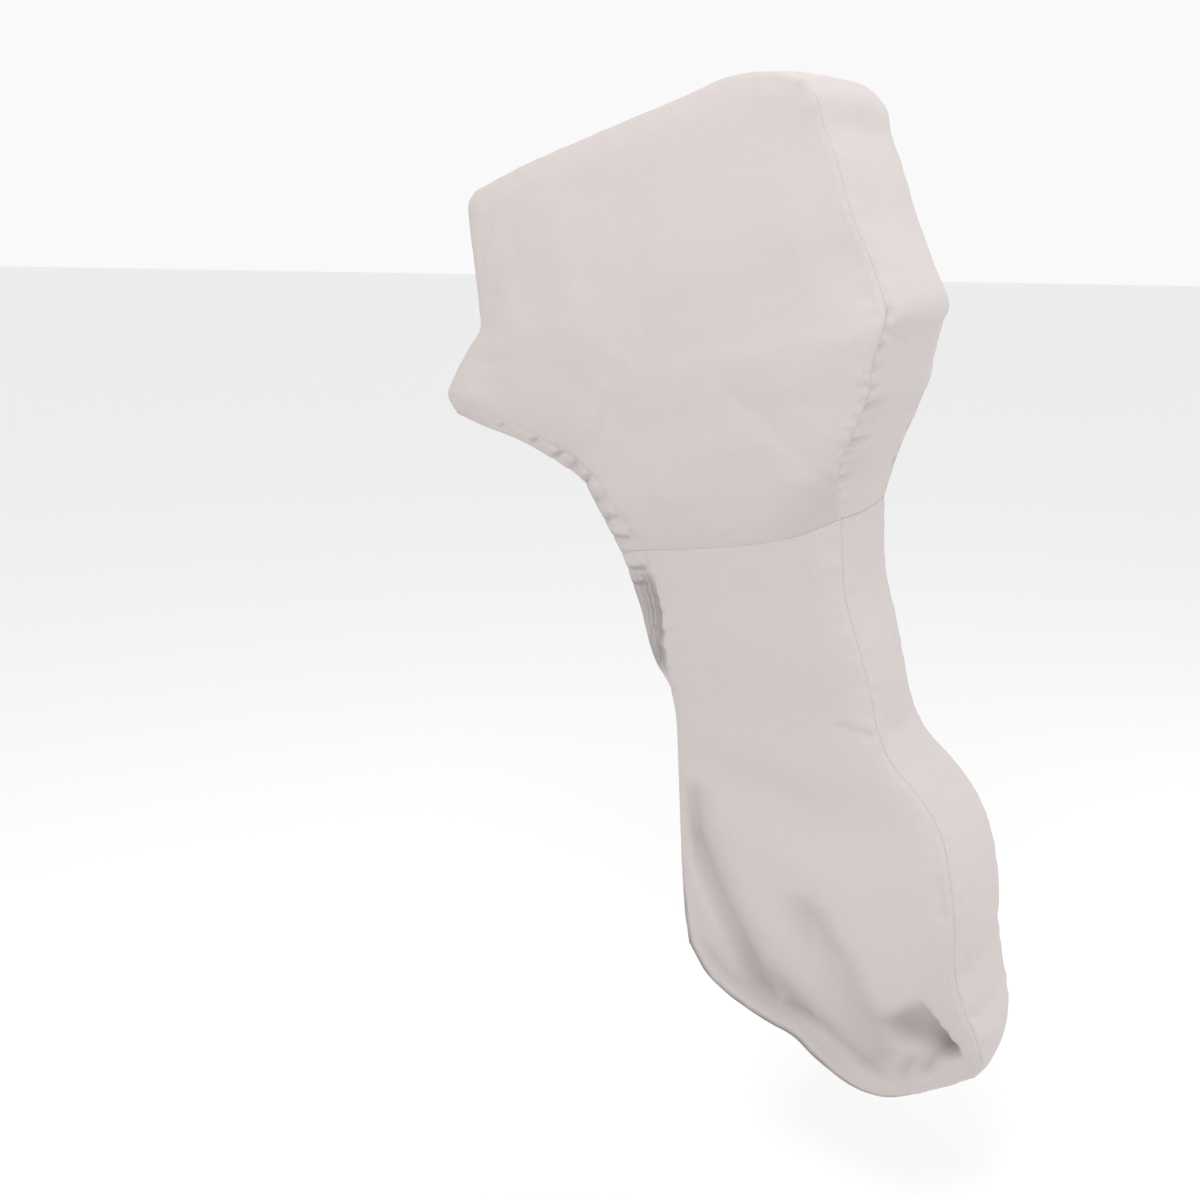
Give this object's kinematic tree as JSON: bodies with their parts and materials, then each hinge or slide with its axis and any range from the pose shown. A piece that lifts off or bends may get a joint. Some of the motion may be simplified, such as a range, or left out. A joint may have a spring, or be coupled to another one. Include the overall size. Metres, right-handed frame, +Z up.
{
  "type": "outboard motor cover",
  "caption": "Full-length fitted cloth cover for an outboard motor, with a wide hood, a narrower leg, a rounded foot and an open front edge with a hem.",
  "frame": {"origin": "against the inside of the roof on the plane of symmetry, where the cover is carried by the engine's top", "axes": "+Z up, +X towards the rear of the engine, away from the boat, and +Y to starboard"},
  "size_m": [0.9071, 0.4488, 1.6157],
  "materials": {
    "cover_cloth": "matt coated woven polyester, pale warm grey"
  },
  "bodies": {
    "root": {"hood_side_port": "cover_cloth", "hood_side_starboard": "cover_cloth", "hood_gusset": "cover_cloth", "leg_side_port": "cover_cloth", "leg_side_starboard": "cover_cloth", "leg_gusset": "cover_cloth"}
  },
  "joints": []
}
